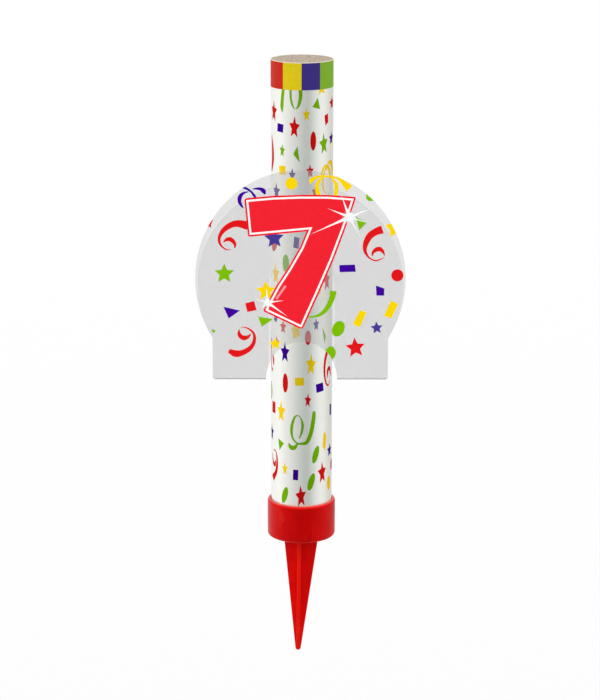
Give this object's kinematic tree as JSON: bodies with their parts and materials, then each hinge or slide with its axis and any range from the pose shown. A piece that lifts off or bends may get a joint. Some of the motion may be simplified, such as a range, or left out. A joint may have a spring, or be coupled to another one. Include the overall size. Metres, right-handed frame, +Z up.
{
  "type": "number birthday candle",
  "caption": "Cake fountain candle: a printed paper tube in a red cup with a cake spike, carrying a clear folded tag that shows a number.",
  "frame": {"origin": "on the tube's axis, in the plane of the cup's flat underside, which rests on the cake's top", "axes": "+Z up the tube away from the cake, -Y the side that shows the number, +X to the right seen from that side"},
  "size_m": [0.0405, 0.0231, 0.12],
  "materials": {
    "holder_plastic": "gloss",
    "tube_board": "matte",
    "wrapper_paper": "satin",
    "band_paper": "satin",
    "closure_board": "matte",
    "clay": "matte",
    "charge": "matte",
    "starter": "matte",
    "printed_film": "gloss",
    "clear_film": "gloss"
  },
  "bodies": {
    "holder": {"spike_holder": "holder_plastic"},
    "tube": {"paper_tube": "tube_board", "printed_wrapper": "wrapper_paper", "striped_band": "band_paper", "closure_disc": "closure_board", "clay_plug": "clay", "spark_charge": "charge", "starter_charge": "starter"},
    "tag_front": {"tag_front_panel": "printed_film"},
    "tag_rear": {"tag_rear_panel": "clear_film"}
  },
  "joints": [
    {"name": "tube_turn", "type": "hinge", "parent": "holder", "child": "tube", "pos_m": [0, 0, 0], "axis": [0, 0, 1], "continuous": true},
    {"name": "tag_slide", "type": "slide", "parent": "tube", "child": "tag_front", "axis": [0, 0, 1], "range_m": [-0.0254, 0.0615]},
    {"name": "tag_fold", "type": "hinge", "parent": "tag_front", "child": "tag_rear", "pos_m": [0, -0.00641, 0.0337], "axis": [-1, 0, 0], "range_deg": [-3.5, 56.5], "stiffness_Nm_per_rad": 0.002, "springref_deg": -1.09}
  ]
}
